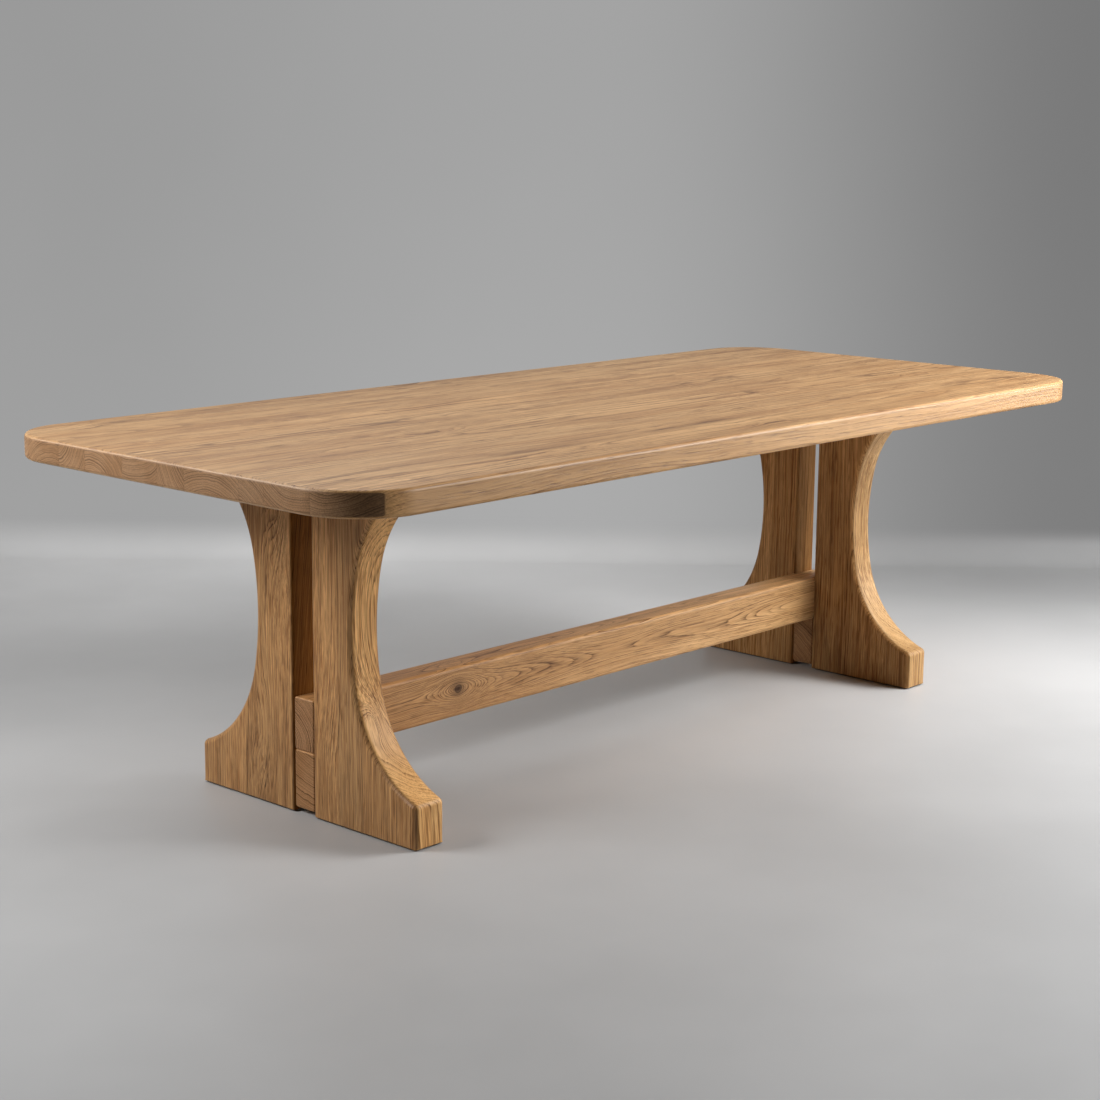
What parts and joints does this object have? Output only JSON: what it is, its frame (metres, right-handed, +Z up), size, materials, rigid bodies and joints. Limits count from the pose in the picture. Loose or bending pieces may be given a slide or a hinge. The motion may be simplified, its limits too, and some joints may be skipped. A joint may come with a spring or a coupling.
{
  "type": "trestle dining table",
  "caption": "Solid oak trestle dining table: a round-cornered plank top on split trestles with concave edges, joined low down by a shouldered stretcher with through tenons.",
  "frame": {"origin": "on the floor, under the middle of the top", "axes": "+X along the table towards its right end, +Y across it towards the back, +Z up"},
  "size_m": [2.4, 1.05, 0.75],
  "materials": {
    "oak_top": "oiled satin oak, grain along X",
    "oak_frame": "oiled satin oak, grain along each piece",
    "beech": "bare beech dowel",
    "black_steel": "black powder coat, fine texture",
    "zinc_steel": "bright zinc plate",
    "brass": "turned brass",
    "felt": "pressed dark felt"
  },
  "bodies": {
    "root": {"top_board_01": "oak_top", "top_board_02": "oak_top", "top_board_03": "oak_top", "top_board_04": "oak_top", "top_board_05": "oak_top", "top_board_06": "oak_top", "top_board_07": "oak_top", "top_board_08": "oak_top", "top_board_09": "oak_top", "top_board_10": "oak_top", "stretcher": "oak_frame", "left_leg_front_half": "oak_frame", "left_leg_back_half": "oak_frame", "left_lower_spacer": "oak_frame", "left_upper_spacer": "oak_frame", "left_lower_dowels": "beech", "left_upper_dowels": "beech", "left_mounting_plate": "black_steel", "left_plate_screws": "zinc_steel", "left_top_bolts": "zinc_steel", "left_top_washers": "zinc_steel", "left_stretcher_bolt": "zinc_steel", "left_stretcher_washer": "zinc_steel", "left_top_inserts": "brass", "left_stretcher_insert": "brass", "left_front_felt_strip": "felt", "left_back_felt_strip": "felt", "right_leg_front_half": "oak_frame", "right_leg_back_half": "oak_frame", "right_lower_spacer": "oak_frame", "right_upper_spacer": "oak_frame", "right_lower_dowels": "beech", "right_upper_dowels": "beech", "right_mounting_plate": "black_steel", "right_plate_screws": "zinc_steel", "right_top_bolts": "zinc_steel", "right_top_washers": "zinc_steel", "right_stretcher_bolt": "zinc_steel", "right_stretcher_washer": "zinc_steel", "right_top_inserts": "brass", "right_stretcher_insert": "brass", "right_front_felt_strip": "felt", "right_back_felt_strip": "felt"}
  },
  "joints": []
}
